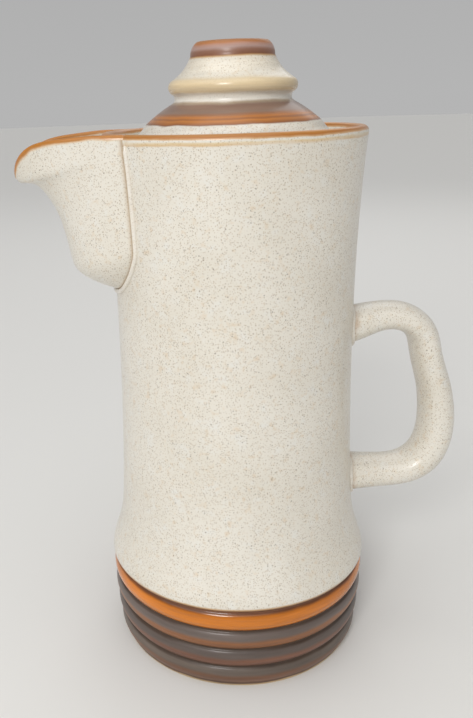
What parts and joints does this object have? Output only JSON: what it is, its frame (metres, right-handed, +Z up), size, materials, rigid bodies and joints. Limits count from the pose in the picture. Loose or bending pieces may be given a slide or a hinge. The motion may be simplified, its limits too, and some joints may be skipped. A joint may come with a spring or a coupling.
{
  "type": "coffee pot",
  "caption": "Tall waisted stoneware coffee pot with a ridged foot, an open beaked spout, a loop handle and a recessed lift-off lid with a stepped knob.",
  "frame": {"origin": "on the body's axis, in the plane of the foot ring that the pot stands on", "axes": "+Z up, the spout along -X, the handle along +X"},
  "size_m": [0.2016, 0.1266, 0.28],
  "materials": {
    "body_glaze": "speckled cream satin glaze, orange ring and brown ridged foot",
    "spout_glaze": "speckled cream satin glaze with an orange rim line",
    "handle_glaze": "speckled cream satin glaze",
    "seam_glaze": "cream satin glaze over a bead of slip",
    "lid_glaze": "cream, honey, brown and orange banded glaze",
    "lug_glaze": "thin cream glaze"
  },
  "bodies": {
    "pot": {"pot_body": "body_glaze", "spout": "spout_glaze", "handle": "handle_glaze", "spout_seam_slip": "seam_glaze", "handle_upper_seam_slip": "seam_glaze", "handle_lower_seam_slip": "seam_glaze"},
    "lid": {"lid": "lid_glaze", "lid_lug": "lug_glaze"}
  },
  "joints": [
    {"name": "lid_lift", "type": "slide", "parent": "pot", "child": "lid", "axis": [0, 0, 1], "range_m": [0, 0.06]}
  ]
}
